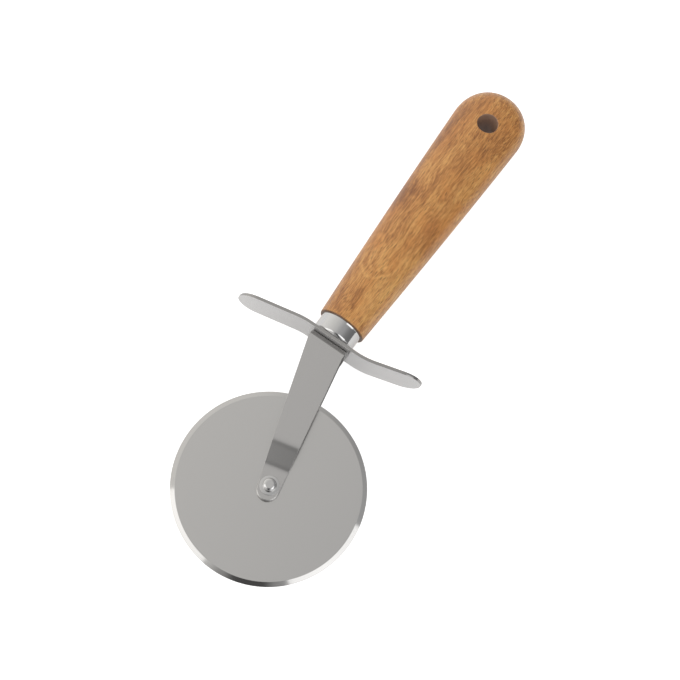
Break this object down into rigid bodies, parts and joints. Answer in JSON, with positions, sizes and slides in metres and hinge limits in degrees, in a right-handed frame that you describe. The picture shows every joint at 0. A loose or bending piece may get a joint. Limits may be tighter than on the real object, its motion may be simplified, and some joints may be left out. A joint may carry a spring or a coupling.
{
  "type": "pizza cutter wheel",
  "caption": "Round steel cutting wheel turning in a bent steel fork under a curved finger guard, on a tapered wooden handle with a hanging hole.",
  "frame": {"origin": "centre of the hanging hole, halfway through the handle's thickness", "axes": "+Y along the handle, from the head to the rounded end; +Z along the hanging hole and the wheel's axle, out of the face with the raised rivet head"},
  "size_m": [0.0857, 0.2196, 0.0204],
  "materials": {
    "wood": "oiled, warm brown with fine open pores",
    "wheel_steel": "satin face, bright ground bevel",
    "strip_steel": "satin",
    "ferrule_steel": "bright drawn steel",
    "rivet_steel": "bright, formed heads",
    "inner_steel": "plain"
  },
  "bodies": {
    "handle_assembly": {"handle": "wood", "ferrule": "ferrule_steel", "tang_rod": "inner_steel", "guard": "strip_steel", "fork": "strip_steel", "axle_rivet": "rivet_steel", "rivet_washer": "rivet_steel", "front_spacer": "inner_steel", "rear_spacer": "inner_steel"},
    "wheel": {"cutting_wheel": "wheel_steel"}
  },
  "joints": [
    {"name": "wheel_spin", "type": "hinge", "parent": "handle_assembly", "child": "wheel", "pos_m": [0.01334, -0.16584, 0], "axis": [0, 0, 1], "continuous": true}
  ]
}
